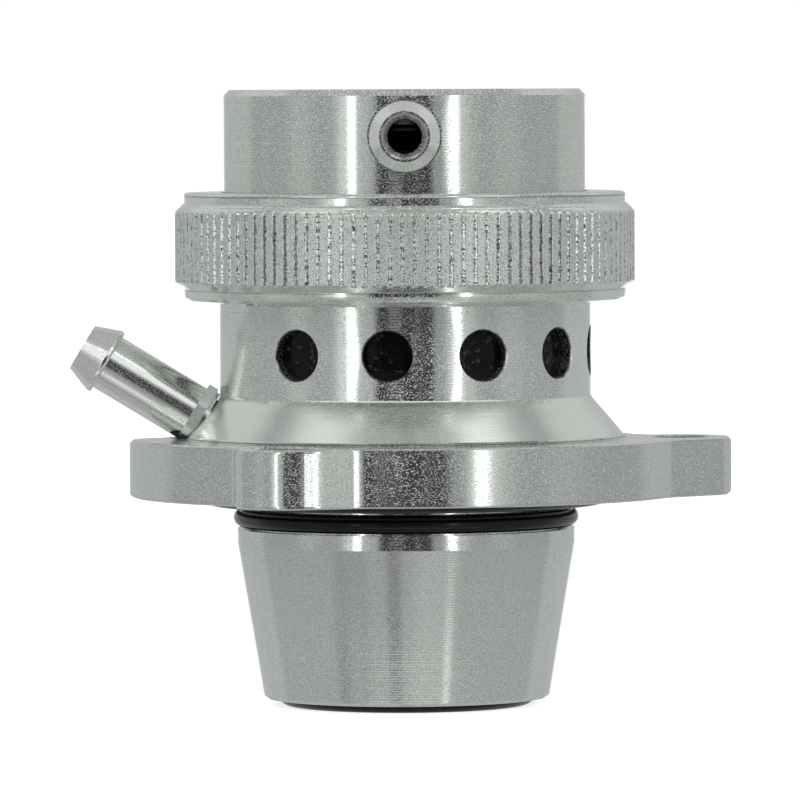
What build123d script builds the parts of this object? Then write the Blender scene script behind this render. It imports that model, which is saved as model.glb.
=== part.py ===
"""Blow off valve for a turbocharger: flanged body, sprung piston, top cap, locking ring and two hose nipples.

Millimetres. The origin is on the valve's axis in the flange's mating face. +Z is up along the axis,
-Y is the side that the cap's hose nipple faces, and the side nipple points to -X.
"""

import os
from math import cos, hypot, radians, sin, sqrt

from build123d import *

# Driving dimensions of the flange
FLANGE_THICKNESS = 6.0
FLANGE_FRONT_LEDGE = 5.92
FLANGE_BACK_LEDGE = 1.72
FLANGE_BACK_LINE_Y = 2.1
FLANGE_CORNER_RADIUS = 5.3
FLANGE_EDGE_BREAK = 0.35
BOLT_CIRCLE_LEDGE = 3.9
BOLT_AZIMUTHS = (-25.0, 87.5, 211.0)
BOLT_HOLE_RADIUS = 3.3
EAR_WALL = 2.0
EAR_FILLET = 2.6
EAR_FLANK_SIDES = (1, -1, 0)
EAR_FLANK_ANGLE = 45.6
EAR_FLANK_FILLET = 5.0

# Driving dimensions of the body above the flange
TUBE_RADIUS = 19.28
TUBE_WALL = 1.2
CONE_HEIGHT = 4.2
CONE_FLARE = 3.6
CONE_TOP_BLEND = 0.9
CONE_FOOT_BLEND = 0.9
SEAT_HEIGHT = 4.0
BORE_DEPTH = 17.4
COLLAR_STEP = 2.02
COLLAR_HEIGHT = 6.4
VENT_HOLE_RADIUS = 2.56
VENT_HOLE_RISE = 5.0
VENT_EDGE_BREAK = 0.15
VENT_POSITIONS = 12
VENT_FIRST_AZIMUTH = -35.5
VENT_COUNT = 10

# Driving dimensions of the spigot below the flange
SPIGOT_RADIUS = 17.55
SPIGOT_END_RADIUS = 14.9
SPIGOT_LENGTH = 21.0
SPIGOT_STRAIGHT = 4.9
SPIGOT_END_BREAK = 0.3
PORT_RADIUS = 9.8
PORT_STRAIGHT = 4.0
CHAMBER_RADIUS = 13.5
CHAMBER_DEPTH = 3.0

# Driving dimensions of the seals
FLANGE_SEAL_SECTION = 2.4
FLANGE_SEAL_WALL = 1.35
FLANGE_SEAL_PROUD = 0.95
SPIGOT_SEAL_SECTION = 1.9
SPIGOT_SEAL_PROUD = 0.4
SPIGOT_SEAL_DEPTH = 2.25
SPIGOT_GROOVE_PLAY = 0.18
SEAT_SEAL_SECTION = 2.5
SEAT_SEAL_WALL = 1.2
SEAT_SEAL_PROUD = 0.8
CAP_SEAL_SECTION = 1.2
CAP_SEAL_INSET = 1.0
SEAL_PLAY = 0.05

# Driving dimensions of the piston and what it carries
PISTON_RUNNING_GAP = 0.05
PISTON_LIFT = 6.5
PISTON_STOP_GAP = 0.3
PISTON_FLOOR = 3.5
PISTON_WALL = 2.7
PISTON_EDGE_BREAK = 0.3
SEAT_WIDTH = 2.0
FACE_SEAL_THICKNESS = 1.5
FACE_SEAL_PROUD = 0.3
WEAR_RING_RISE = 2.4
WEAR_RING_HEIGHT = 1.2
WEAR_RING_DEPTH = 1.0
WEAR_RING_GAP = 0.9
PISTON_SEAL_DROP = 1.5
PISTON_SEAL_SECTION = 1.2
RETAINER_RADIUS = 9.0
RETAINER_THICKNESS = 1.5
SCREW_RADIUS = 2.0
SCREW_HEAD_RADIUS = 3.5
SCREW_HEAD_HEIGHT = 1.9
SCREW_HEAD_CHAMFER = 0.3
SCREW_END_PROUD = 0.7
SCREW_SOCKET_ACROSS_FLATS = 2.5
SCREW_SOCKET_DEPTH = 1.2

# Driving dimensions of the cap
CAP_HEIGHT = 14.7
CAP_TOP_CHAMFER = 0.65
CAP_ROOF = 2.8
CAP_WALL = 2.9
CAP_SHOULDER = 2.1
CAP_FOOT_HEIGHT = 2.2
CAP_FOOT_CLEARANCE = 0.46
CAP_NIPPLE_DROP = 4.73

# Driving dimensions of the locking ring
RING_HEIGHT = 11.2
RING_WALL = 1.59
RING_LIP_THICKNESS = 1.6
RING_LIP_CLEARANCE = 0.3
RING_THREAD_CLEARANCE = 0.06
RING_CORNER = 0.45
RING_BOTTOM_BEVEL = 0.6
KNURL_RAISE = 0.9
KNURL_TOP_SLOPE = 1.0
KNURL_BOTTOM_SLOPE = 0.8
KNURL_DROP = 2.15
KNURL_HEIGHT = 7.05
KNURL_COUNT = 120
KNURL_WIDTH = 0.52
KNURL_DEPTH = 0.2
SLIP_WASHER_THICKNESS = 0.3

# Driving dimensions of the spring
SPRING_WIRE = 1.9
SPRING_WIRE_SIDES = 8
SPRING_CUP_CLEARANCE = 1.78
SPRING_ACTIVE_TURNS = 5
SPRING_CLOSED_PITCH = 1.02
SPRING_WASHER_THICKNESS = 0.6
SPRING_SHIM_THICKNESS = 0.8
SPRING_SEAT_MARGIN = 0.6

# Driving dimensions of the two hose nipples, along their own axis from the collar's seat
NIPPLE_LENGTH = 14.4
NIPPLE_SHANK_RADIUS = 3.0
NIPPLE_BORE_RADIUS = 1.7
NIPPLE_TIP_RADIUS = 2.55
NIPPLE_BARB_STEP = 0.55
NIPPLE_BARB_LENGTH = 3.1
NIPPLE_BARB_LIP = 0.5
NIPPLE_COLLAR_STEP = 0.25
NIPPLE_COLLAR_HEIGHT = 1.1
NIPPLE_COLLAR_TRIM = 1.08
NIPPLE_MOUTH_CHAMFER = 0.65
NIPPLE_THREAD_RADIUS = 2.5
NIPPLE_THREAD_LENGTH = 2.2
NIPPLE_SEAL_THICKNESS = 0.4
SPOT_FACE_CLEARANCE = 0.29
SIDE_NIPPLE_TILT = 31.3
SIDE_SEAT_RISE = 1.8
SIDE_SEAT_SINK = 0.45

# How the flange's outline is searched for corners that turn inwards
CORNER_PROBE = 0.2
CORNER_PROBE_STEPS = 24
INNER_CORNER_SHARE = 0.55

# How far an edge may be from the tube's surface and still count as lying on it
ON_SURFACE = 0.01

# How a cylinder stands on its own origin or hangs below it
ON_BASE = (Align.CENTER, Align.CENTER, Align.MIN)
BELOW_TOP = (Align.CENTER, Align.CENTER, Align.MAX)

# Heights of the body, from the flange's underside
seat_z = FLANGE_THICKNESS + SEAT_HEIGHT
cone_top_z = FLANGE_THICKNESS + CONE_HEIGHT
body_top_z = seat_z + BORE_DEPTH
collar_start_z = body_top_z - COLLAR_HEIGHT
vent_hole_z = seat_z + VENT_HOLE_RISE

# Radii of the body
ear_radius = BOLT_HOLE_RADIUS + EAR_WALL
bore_radius = TUBE_RADIUS - TUBE_WALL
cone_foot_radius = TUBE_RADIUS + CONE_FLARE
flange_front_radius = cone_foot_radius + FLANGE_FRONT_LEDGE
flange_back_radius = cone_foot_radius + FLANGE_BACK_LEDGE
bolt_circle_radius = flange_back_radius + BOLT_CIRCLE_LEDGE
ear_flank_distance = bolt_circle_radius * cos(radians(EAR_FLANK_ANGLE)) + ear_radius
collar_radius = TUBE_RADIUS + COLLAR_STEP

# Seals in the body
flange_seal_outer = SPIGOT_RADIUS + FLANGE_SEAL_WALL + FLANGE_SEAL_SECTION
flange_seal_top = FLANGE_SEAL_SECTION - FLANGE_SEAL_PROUD
spigot_seal_outer = SPIGOT_RADIUS + SPIGOT_SEAL_PROUD
spigot_seal_top = SPIGOT_SEAL_SECTION / 2 - SPIGOT_SEAL_DEPTH
seat_seal_outer = PORT_RADIUS + SEAT_SEAL_WALL + SEAT_SEAL_SECTION
seat_seal_top = SEAT_SEAL_SECTION - SEAT_SEAL_PROUD - SPIGOT_LENGTH
cap_seal_outer = collar_radius - CAP_SEAL_INSET
cap_seal_top = body_top_z - SEAL_PLAY

# Piston, shut on its seat
piston_radius = bore_radius - PISTON_RUNNING_GAP
piston_bottom_z = seat_z + FACE_SEAL_PROUD
piston_top_z = body_top_z - PISTON_LIFT - PISTON_STOP_GAP
piston_floor_z = piston_bottom_z + PISTON_FLOOR
piston_cup_radius = piston_radius - PISTON_WALL
piston_seal_top = piston_top_z - PISTON_SEAL_DROP + PISTON_SEAL_SECTION / 2
wear_ring_bottom = piston_bottom_z + WEAR_RING_RISE - WEAR_RING_HEIGHT / 2
face_seal_radius = CHAMBER_RADIUS + SEAT_WIDTH
retainer_bottom_z = seat_z - RETAINER_THICKNESS

# Locking ring and cap
ring_thread_radius = collar_radius + RING_THREAD_CLEARANCE
ring_collar_radius = ring_thread_radius + RING_WALL
ring_radius = ring_collar_radius + KNURL_RAISE
cap_foot_radius = ring_thread_radius - CAP_FOOT_CLEARANCE
cap_radius = cap_foot_radius - CAP_SHOULDER
cap_inner_radius = cap_radius - CAP_WALL
cap_top_z = body_top_z + CAP_HEIGHT
cap_roof_z = cap_top_z - CAP_ROOF
cap_foot_top_z = body_top_z + CAP_FOOT_HEIGHT
cap_nipple_z = cap_top_z - CAP_NIPPLE_DROP
ring_lip_radius = cap_radius + RING_LIP_CLEARANCE
ring_lip_z = cap_foot_top_z + SLIP_WASHER_THICKNESS
ring_top_z = ring_lip_z + RING_LIP_THICKNESS
ring_bottom_z = ring_top_z - RING_HEIGHT
knurl_top_z = ring_top_z - KNURL_DROP
knurl_bottom_z = knurl_top_z - KNURL_HEIGHT

# Spring between the piston's floor and the cap's roof
spring_radius = piston_cup_radius - SPRING_CUP_CLEARANCE - SPRING_WIRE / 2
spring_bottom_z = piston_floor_z + SPRING_WASHER_THICKNESS
spring_top_z = cap_roof_z - SPRING_SHIM_THICKNESS
spring_seat_inner = spring_radius - SPRING_WIRE / 2 - SPRING_SEAT_MARGIN
spring_seat_outer = spring_radius + SPRING_WIRE / 2 + SPRING_SEAT_MARGIN

# Nipples and their seats
nipple_barb_radius = NIPPLE_SHANK_RADIUS + NIPPLE_BARB_STEP
nipple_flat_radius = NIPPLE_SHANK_RADIUS + NIPPLE_COLLAR_STEP
nipple_corner_radius = nipple_flat_radius * NIPPLE_COLLAR_TRIM
spot_face_radius = nipple_corner_radius + SPOT_FACE_CLEARANCE
side_seat_z = FLANGE_THICKNESS + SIDE_SEAT_RISE
side_seat_radius = TUBE_RADIUS + CONE_FLARE * (1 - SIDE_SEAT_RISE / CONE_HEIGHT) - SIDE_SEAT_SINK
cap_spot_face_y = -sqrt(cap_radius**2 - spot_face_radius**2)


def turned(*points, radii=None):
    """Revolve a closed profile of (radius, z) corners about Z, with a rounding for each corner if given."""
    if radii is None:
        outline = Polyline(*points, close=True)
    else:
        outline = FilletPolyline(*points, radius=radii, close=True)
    profile = make_face(Plane.XZ * outline)
    return revolve(profile, Axis.Z)


def tube(outer, inner, bottom, top):
    """A plain ring with a rectangular section."""
    return turned((inner, bottom), (outer, bottom), (outer, top), (inner, top))


def o_ring(section, outer, top):
    """A round-section seal, given by its section diameter, outer radius and top height."""
    return Pos(0, 0, top - section / 2) * Torus(outer - section / 2, section / 2)


def around(azimuth, radius, z=0.0):
    """A place at an azimuth from the front, -Y, with positive azimuths towards +X."""
    return Pos(radius * sin(radians(azimuth)), -radius * cos(radians(azimuth)), z)


def bolt_ear(azimuth, flank_side):
    """A round ear for a bolt hole. A flank side of 1 or -1 adds a straight flank that meets the flange."""
    centre = around(azimuth, bolt_circle_radius)
    ear = centre * Circle(ear_radius)
    if flank_side:
        corners = [(0, 0), centre.position, flank_start(azimuth, flank_side), flank_foot(azimuth, flank_side)]
        ear += make_face(Polyline(*corners, close=True))
    return ear


def flank_start(azimuth, flank_side):
    """Where an ear's straight flank leaves the ear's round."""
    flank_azimuth = azimuth + flank_side * EAR_FLANK_ANGLE
    return (around(azimuth, bolt_circle_radius) * around(flank_azimuth, ear_radius)).position


def flank_foot(azimuth, flank_side):
    """The point of an ear's flank line that is nearest to the axis, well inside the flange."""
    return around(azimuth + flank_side * EAR_FLANK_ANGLE, ear_flank_distance).position


def flange_outline():
    """The flange in plan: a wide arc in front, a smaller disc behind and an ear round each bolt hole."""
    front = Circle(flange_front_radius)
    reach = 2 * flange_front_radius
    front &= Pos(0, FLANGE_BACK_LINE_Y - reach) * Rectangle(2 * reach, 2 * reach)
    back_corners = front.vertices().group_by(Axis.Y)[-1]
    front = fillet(back_corners, FLANGE_CORNER_RADIUS)
    outline = front + Circle(flange_back_radius)
    ears = list(zip(BOLT_AZIMUTHS, EAR_FLANK_SIDES))
    for azimuth, flank_side in ears:
        outline += bolt_ear(azimuth, flank_side)
    for azimuth, flank_side in ears:
        if flank_side:
            flank_corner = inner_corners(outline).sort_by_distance(flank_start(azimuth, flank_side))[0]
            outline = fillet(flank_corner, EAR_FLANK_FILLET)
    return fillet(inner_corners(outline), EAR_FILLET)


def inner_corners(face):
    """The corners of an outline that turn inwards."""
    return ShapeList(vertex for vertex in face.vertices() if is_inner_corner(face, vertex))


def is_inner_corner(face, vertex):
    """True where the outline turns inwards, so that most of a small circle about the corner is inside."""
    inside = 0
    for step in range(CORNER_PROBE_STEPS):
        angle = radians(360 * step / CORNER_PROBE_STEPS)
        point = Vector(vertex.X + CORNER_PROBE * cos(angle), vertex.Y + CORNER_PROBE * sin(angle), 0)
        inside += face.face().is_inside(point)
    return inside > CORNER_PROBE_STEPS * INNER_CORNER_SHARE


def bolt_flange():
    """The flange plate with its bolt holes and broken edges."""
    plate = extrude(flange_outline(), FLANGE_THICKNESS)
    for azimuth in BOLT_AZIMUTHS:
        hole = around(azimuth, bolt_circle_radius) * Circle(BOLT_HOLE_RADIUS)
        plate -= extrude(hole, FLANGE_THICKNESS)
    rims = plate.edges().group_by(Axis.Z)[0] + plate.edges().group_by(Axis.Z)[-1]
    return chamfer(rims, FLANGE_EDGE_BREAK)


def body_turning():
    """Everything of the body that is turned: vent tube, flared cone and tapered spigot, without the bore."""
    groove_top = spigot_seal_top + SPIGOT_GROOVE_PLAY
    groove_bottom = spigot_seal_top - SPIGOT_SEAL_SECTION - SPIGOT_GROOVE_PLAY
    groove_floor = spigot_seal_outer - SPIGOT_SEAL_SECTION - SEAL_PLAY
    root_radius = (cone_foot_radius + flange_back_radius) / 2
    corners = [
        (0, -SPIGOT_LENGTH, 0),
        (SPIGOT_END_RADIUS - SPIGOT_END_BREAK, -SPIGOT_LENGTH, 0),
        (SPIGOT_END_RADIUS, SPIGOT_END_BREAK - SPIGOT_LENGTH, 0),
        (SPIGOT_RADIUS, -SPIGOT_STRAIGHT, 0),
        (SPIGOT_RADIUS, groove_bottom, 0),
        (groove_floor, groove_bottom, 0),
        (groove_floor, groove_top, 0),
        (SPIGOT_RADIUS, groove_top, 0),
        (SPIGOT_RADIUS, 0, 0),
        (SPIGOT_RADIUS, FLANGE_THICKNESS / 2, 0),
        (root_radius, FLANGE_THICKNESS / 2, 0),
        (root_radius, FLANGE_THICKNESS, 0),
        (cone_foot_radius, FLANGE_THICKNESS, CONE_FOOT_BLEND),
        (TUBE_RADIUS, cone_top_z, CONE_TOP_BLEND),
        (TUBE_RADIUS, collar_start_z - COLLAR_STEP / 2, 0),
        (collar_radius, collar_start_z + COLLAR_STEP / 2, 0),
        (collar_radius, body_top_z, 0),
        (0, body_top_z, 0),
    ]
    points = [(r, z) for r, z, rounding in corners]
    return turned(*points, radii=[rounding for r, z, rounding in corners])


def body_bore():
    """What is bored out of the body: the piston's bore, the chamber under the seat and the port."""
    port_top_z = PORT_STRAIGHT - SPIGOT_LENGTH
    return turned(
        (0, -SPIGOT_LENGTH),
        (PORT_RADIUS, -SPIGOT_LENGTH),
        (PORT_RADIUS, port_top_z),
        (CHAMBER_RADIUS, -CHAMBER_DEPTH),
        (CHAMBER_RADIUS, seat_z),
        (bore_radius, seat_z),
        (bore_radius, body_top_z),
        (0, body_top_z),
    )


def face_groove(section, outer, bottom, top):
    """A square groove for a face seal, a little wider than the seal."""
    return tube(outer + SEAL_PLAY, outer - section - SEAL_PLAY, bottom, top)


def vent_holes():
    """The ring of round vent holes, with the positions over the side nipple left blank."""
    holes = Part()
    drill = Rot(90, 0, 0) * Cylinder(VENT_HOLE_RADIUS, collar_radius, align=ON_BASE)
    for index in range(VENT_COUNT):
        azimuth = VENT_FIRST_AZIMUTH + index * 360 / VENT_POSITIONS
        holes += Pos(0, 0, vent_hole_z) * Rot(0, 0, azimuth) * drill
    return holes


def break_vent_edges(body):
    """The body with the outer edge of every vent hole broken."""
    return chamfer([edge for edge in body.edges() if is_vent_edge(edge)], VENT_EDGE_BREAK)


def is_vent_edge(edge):
    """True for the outer edge of a vent hole: a curve on the tube's surface, at the holes' height."""
    start = edge @ 0
    on_tube = abs(hypot(start.X, start.Y) - TUBE_RADIUS) < ON_SURFACE
    at_holes = abs(start.Z - vent_hole_z) < VENT_HOLE_RADIUS + ON_SURFACE
    return on_tube and at_holes and edge.geom_type != GeomType.LINE


def side_nipple_place():
    """Where the side nipple's seat is: its own Z axis runs out of the cone, up and to -X."""
    return Pos(-side_seat_radius, 0, side_seat_z) * Rot(0, SIDE_NIPPLE_TILT - 90, 0)


def cap_nipple_place():
    """Where the cap nipple's seat is: its own Z axis runs out to the front."""
    return Pos(0, cap_spot_face_y, cap_nipple_z) * Rot(90, 0, 0)


def nipple_port(passage_length):
    """The cutter for a nipple's seat: spot face, threaded hole and a drilled passage behind it."""
    port = Cylinder(spot_face_radius, NIPPLE_LENGTH, align=ON_BASE)
    port += Cylinder(NIPPLE_THREAD_RADIUS, NIPPLE_THREAD_LENGTH, align=BELOW_TOP)
    port += Cylinder(NIPPLE_BORE_RADIUS, passage_length, align=BELOW_TOP)
    return port


def valve_body():
    """The body in one piece: flange, cone, vent tube and spigot, with every hole and groove."""
    body = break_vent_edges(bolt_flange() + body_turning() - body_bore() - vent_holes())
    body -= face_groove(FLANGE_SEAL_SECTION, flange_seal_outer, 0, flange_seal_top + SEAL_PLAY)
    body -= face_groove(SEAT_SEAL_SECTION, seat_seal_outer, -SPIGOT_LENGTH, seat_seal_top + SEAL_PLAY)
    cap_groove_floor = cap_seal_top - CAP_SEAL_SECTION - SEAL_PLAY
    body -= face_groove(CAP_SEAL_SECTION, cap_seal_outer, cap_groove_floor, body_top_z)
    passage = (side_seat_radius - CHAMBER_RADIUS + NIPPLE_BORE_RADIUS) / cos(radians(SIDE_NIPPLE_TILT))
    return body - side_nipple_place() * nipple_port(passage)


def top_cap():
    """The cap: a cup turned upside down, with a foot that the locking ring clamps."""
    cap = turned(
        (cap_inner_radius, body_top_z),
        (cap_foot_radius, body_top_z),
        (cap_foot_radius, cap_foot_top_z),
        (cap_radius, cap_foot_top_z),
        (cap_radius, cap_top_z - CAP_TOP_CHAMFER),
        (cap_radius - CAP_TOP_CHAMFER, cap_top_z),
        (0, cap_top_z),
        (0, cap_roof_z),
        (cap_inner_radius, cap_roof_z),
    )
    return cap - cap_nipple_place() * nipple_port(CAP_WALL)


def knurled_disc():
    """The knurled band in plan: a disc with a V groove at every knurl pitch."""
    floor_y = KNURL_DEPTH - ring_radius
    outside_y = -KNURL_DEPTH - ring_radius
    notch = Polyline((0, floor_y), (KNURL_WIDTH, outside_y), (-KNURL_WIDTH, outside_y), close=True)
    groove = make_face(notch)
    grooves = [Rot(0, 0, index * 360 / KNURL_COUNT) * groove for index in range(KNURL_COUNT)]
    return Circle(ring_radius) - grooves


def locking_ring():
    """The union nut: knurled outside, threaded below and with an inner lip over the cap's foot."""
    slope_foot = knurl_bottom_z - KNURL_BOTTOM_SLOPE
    blank = turned(
        (0, ring_bottom_z),
        (ring_collar_radius - RING_BOTTOM_BEVEL, ring_bottom_z),
        (ring_collar_radius, ring_bottom_z + RING_BOTTOM_BEVEL),
        (ring_collar_radius, slope_foot),
        (ring_radius, knurl_bottom_z),
        (ring_radius, knurl_top_z),
        (ring_collar_radius, knurl_top_z + KNURL_TOP_SLOPE),
        (ring_collar_radius, ring_top_z - RING_CORNER),
        (ring_collar_radius - RING_CORNER, ring_top_z),
        (0, ring_top_z),
    )
    ring = blank & Pos(0, 0, ring_bottom_z) * extrude(knurled_disc(), RING_HEIGHT)
    hollow = turned(
        (0, ring_bottom_z),
        (ring_thread_radius, ring_bottom_z),
        (ring_thread_radius, ring_lip_z),
        (ring_lip_radius, ring_lip_z),
        (ring_lip_radius, ring_top_z),
        (0, ring_top_z),
    )
    return ring - hollow


def piston():
    """The piston: a cup with two ring grooves and a recess below for its face seal."""
    cup = turned(
        (0, piston_bottom_z),
        (piston_radius - PISTON_EDGE_BREAK, piston_bottom_z),
        (piston_radius, piston_bottom_z + PISTON_EDGE_BREAK),
        (piston_radius, piston_top_z),
        (piston_cup_radius, piston_top_z),
        (piston_cup_radius, piston_floor_z),
        (0, piston_floor_z),
    )
    cut_radius = piston_radius + PISTON_WALL
    seal_floor = piston_radius - PISTON_SEAL_SECTION - SEAL_PLAY
    seal_bottom = piston_seal_top - PISTON_SEAL_SECTION
    cup -= tube(cut_radius, seal_floor, seal_bottom - SEAL_PLAY, piston_seal_top + SEAL_PLAY)
    wear_floor = piston_radius - WEAR_RING_DEPTH
    cup -= tube(cut_radius, wear_floor, wear_ring_bottom, wear_ring_bottom + WEAR_RING_HEIGHT)
    recess = Cylinder(face_seal_radius, FACE_SEAL_THICKNESS - FACE_SEAL_PROUD, align=ON_BASE)
    screw_hole = Cylinder(SCREW_RADIUS, PISTON_FLOOR, align=ON_BASE)
    return cup - Pos(0, 0, piston_bottom_z) * (recess + screw_hole)


def wear_ring():
    """The slip ring in the piston's lower groove, split so that it springs over the piston."""
    top = wear_ring_bottom + WEAR_RING_HEIGHT
    ring = tube(piston_radius, piston_radius - WEAR_RING_DEPTH, wear_ring_bottom, top)
    return ring - Pos(0, piston_radius, top) * Box(WEAR_RING_GAP, PISTON_WALL, 3 * WEAR_RING_HEIGHT)


def face_seal():
    """The rubber disc that closes on the body's seat."""
    return tube(face_seal_radius, SCREW_RADIUS, seat_z, seat_z + FACE_SEAL_THICKNESS)


def seal_retainer():
    """The washer that clamps the face seal."""
    return tube(RETAINER_RADIUS, SCREW_RADIUS, retainer_bottom_z, seat_z)


def retainer_screw():
    """The low socket head screw that holds the retainer, up through the piston's floor."""
    head = Cylinder(SCREW_HEAD_RADIUS, SCREW_HEAD_HEIGHT, align=BELOW_TOP)
    head = chamfer(head.edges().group_by(Axis.Z)[0], SCREW_HEAD_CHAMFER)
    socket = extrude(RegularPolygon(SCREW_SOCKET_ACROSS_FLATS / sqrt(3), 6), SCREW_SOCKET_DEPTH)
    shank = Cylinder(SCREW_RADIUS, piston_floor_z + SCREW_END_PROUD - retainer_bottom_z, align=ON_BASE)
    return Pos(0, 0, retainer_bottom_z) * (head - Pos(0, 0, -SCREW_HEAD_HEIGHT) * socket + shank)


def return_spring():
    """The coil spring, with one closed turn at each end, ground flat. The wire's section is an octagon."""
    height = spring_top_z - spring_bottom_z
    closed_rise = SPRING_WIRE * SPRING_CLOSED_PITCH
    active_rise = height - 2 * closed_rise
    active_pitch = active_rise / SPRING_ACTIVE_TURNS
    stretches = [
        (0, closed_rise, closed_rise),
        (closed_rise, active_rise, active_pitch),
        (height - closed_rise, closed_rise, closed_rise),
    ]
    half_side = 180 / SPRING_WIRE_SIDES
    section = RegularPolygon(SPRING_WIRE / 2, SPRING_WIRE_SIDES, major_radius=False, rotation=half_side)
    coils = Part()
    for bottom, rise, pitch in stretches:
        path = Helix(pitch, rise, spring_radius, center=(0, 0, bottom))
        wire = Plane(origin=path @ 0, x_dir=(1, 0, 0), z_dir=(0, 1, 0)) * section
        coils += sweep(wire, path, is_frenet=True)
    ground_between = Cylinder(2 * spring_radius, height, align=ON_BASE)
    return Pos(0, 0, spring_bottom_z) * (coils & ground_between)


def hose_nipple():
    """A hose nipple along +Z from its seat: thread, hexagonal collar, shank and barb, bored through."""
    barb_z = NIPPLE_LENGTH - NIPPLE_BARB_LENGTH
    lip_top = barb_z + NIPPLE_BARB_LIP
    corners = [
        (0, -NIPPLE_THREAD_LENGTH, 0),
        (NIPPLE_THREAD_RADIUS, -NIPPLE_THREAD_LENGTH, 0),
        (NIPPLE_THREAD_RADIUS, 0, 0),
        (NIPPLE_SHANK_RADIUS, 0, 0),
        (NIPPLE_SHANK_RADIUS, barb_z, 0),
        (nipple_barb_radius, barb_z, NIPPLE_BARB_LIP / 2),
        (nipple_barb_radius, lip_top, NIPPLE_BARB_LIP / 2),
        (NIPPLE_TIP_RADIUS, NIPPLE_LENGTH, 0),
        (0, NIPPLE_LENGTH, 0),
    ]
    points = [(r, z) for r, z, rounding in corners]
    stem = turned(*points, radii=[rounding for r, z, rounding in corners])
    hexagon = extrude(RegularPolygon(nipple_flat_radius / cos(radians(30)), 6), NIPPLE_COLLAR_HEIGHT)
    hexagon &= Cylinder(nipple_corner_radius, NIPPLE_COLLAR_HEIGHT, align=ON_BASE)
    bore = turned(
        (0, -NIPPLE_THREAD_LENGTH),
        (NIPPLE_BORE_RADIUS, -NIPPLE_THREAD_LENGTH),
        (NIPPLE_BORE_RADIUS, NIPPLE_LENGTH - NIPPLE_MOUTH_CHAMFER),
        (NIPPLE_BORE_RADIUS + NIPPLE_MOUTH_CHAMFER, NIPPLE_LENGTH),
        (0, NIPPLE_LENGTH),
    )
    return stem + hexagon - bore


def nipple_seal():
    """The crush washer under a nipple's collar."""
    return tube(nipple_flat_radius - SEAL_PLAY, NIPPLE_THREAD_RADIUS, 0, NIPPLE_SEAL_THICKNESS)


seal_rise = Pos(0, 0, NIPPLE_SEAL_THICKNESS)
nodes = {
    "valve_body": valve_body(),
    "top_cap": top_cap(),
    "locking_ring": locking_ring(),
    "cap_nipple": cap_nipple_place() * seal_rise * hose_nipple(),
    "cap_nipple_seal": cap_nipple_place() * nipple_seal(),
    "side_nipple": side_nipple_place() * seal_rise * hose_nipple(),
    "side_nipple_seal": side_nipple_place() * nipple_seal(),
    "flange_seal": o_ring(FLANGE_SEAL_SECTION, flange_seal_outer, flange_seal_top),
    "spigot_seal": o_ring(SPIGOT_SEAL_SECTION, spigot_seal_outer, spigot_seal_top),
    "seat_seal": o_ring(SEAT_SEAL_SECTION, seat_seal_outer, seat_seal_top),
    "cap_seal": o_ring(CAP_SEAL_SECTION, cap_seal_outer, cap_seal_top),
    "piston": piston(),
    "piston_wear_ring": wear_ring(),
    "piston_seal": o_ring(PISTON_SEAL_SECTION, piston_radius, piston_seal_top),
    "piston_face_seal": face_seal(),
    "seal_retainer": seal_retainer(),
    "retainer_screw": retainer_screw(),
    "return_spring": return_spring(),
    "spring_foot_washer": tube(spring_seat_outer, spring_seat_inner, piston_floor_z, spring_bottom_z),
    "spring_shim": tube(spring_seat_outer, spring_seat_inner, spring_top_z, cap_roof_z),
    "ring_slip_washer": tube(cap_foot_radius, ring_lip_radius, cap_foot_top_z, ring_lip_z),
}

os.makedirs("parts", exist_ok=True)
for name, shape in nodes.items():
    export_step(shape, f"parts/{name}.step")
    print(name, round(shape.volume, 1))
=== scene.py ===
# %% [markdown]
# # A blow off valve in turned aluminium
# This lesson dresses a finished CAD model of a blow off valve: a small sprung piston valve that bolts to a
# turbocharger and lets the charge air out when the throttle shuts. Nearly everything on it is turned, satin
# anodised aluminium, so the lesson is mostly about how such metal is lit and how its surface is made.
# The first cell loads the CAD pieces, lays each one's placement into its own mesh, and gives a helper that
# reads the box that a piece fills.

from math import asin, cos, degrees, pi, radians, sin

import bpy
from mathutils import Matrix, Vector


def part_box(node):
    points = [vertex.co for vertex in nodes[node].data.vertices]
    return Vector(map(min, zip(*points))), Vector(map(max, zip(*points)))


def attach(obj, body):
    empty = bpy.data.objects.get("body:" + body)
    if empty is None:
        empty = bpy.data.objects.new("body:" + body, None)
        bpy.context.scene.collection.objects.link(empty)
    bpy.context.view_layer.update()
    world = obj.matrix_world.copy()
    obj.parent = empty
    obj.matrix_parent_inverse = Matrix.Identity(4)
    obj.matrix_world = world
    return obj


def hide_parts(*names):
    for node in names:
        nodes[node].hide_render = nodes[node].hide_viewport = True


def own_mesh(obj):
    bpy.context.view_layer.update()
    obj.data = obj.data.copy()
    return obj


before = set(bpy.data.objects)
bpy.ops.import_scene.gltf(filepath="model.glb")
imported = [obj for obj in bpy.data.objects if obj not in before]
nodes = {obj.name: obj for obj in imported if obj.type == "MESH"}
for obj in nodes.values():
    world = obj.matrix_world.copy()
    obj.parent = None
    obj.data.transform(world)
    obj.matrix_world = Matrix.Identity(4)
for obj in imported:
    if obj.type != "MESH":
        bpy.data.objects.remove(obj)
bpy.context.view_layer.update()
MM = 0.001
print("CAD pieces:", len(nodes))

# %% [markdown]
# ## The camera
# A short lens close by would make the nipple in front swell. A product photograph of a small part is taken
# from well back with a long lens instead, so that the round shapes keep their true outline. In the picture
# the cap's top edge is a straight line, which puts the lens level with it, and the flange's ellipses give
# the distance. So the camera stands 0.83 m in front with a 360 mm lens and looks slightly down. It also
# leans by a quarter of a degree, as a hand-levelled tripod does.

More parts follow.
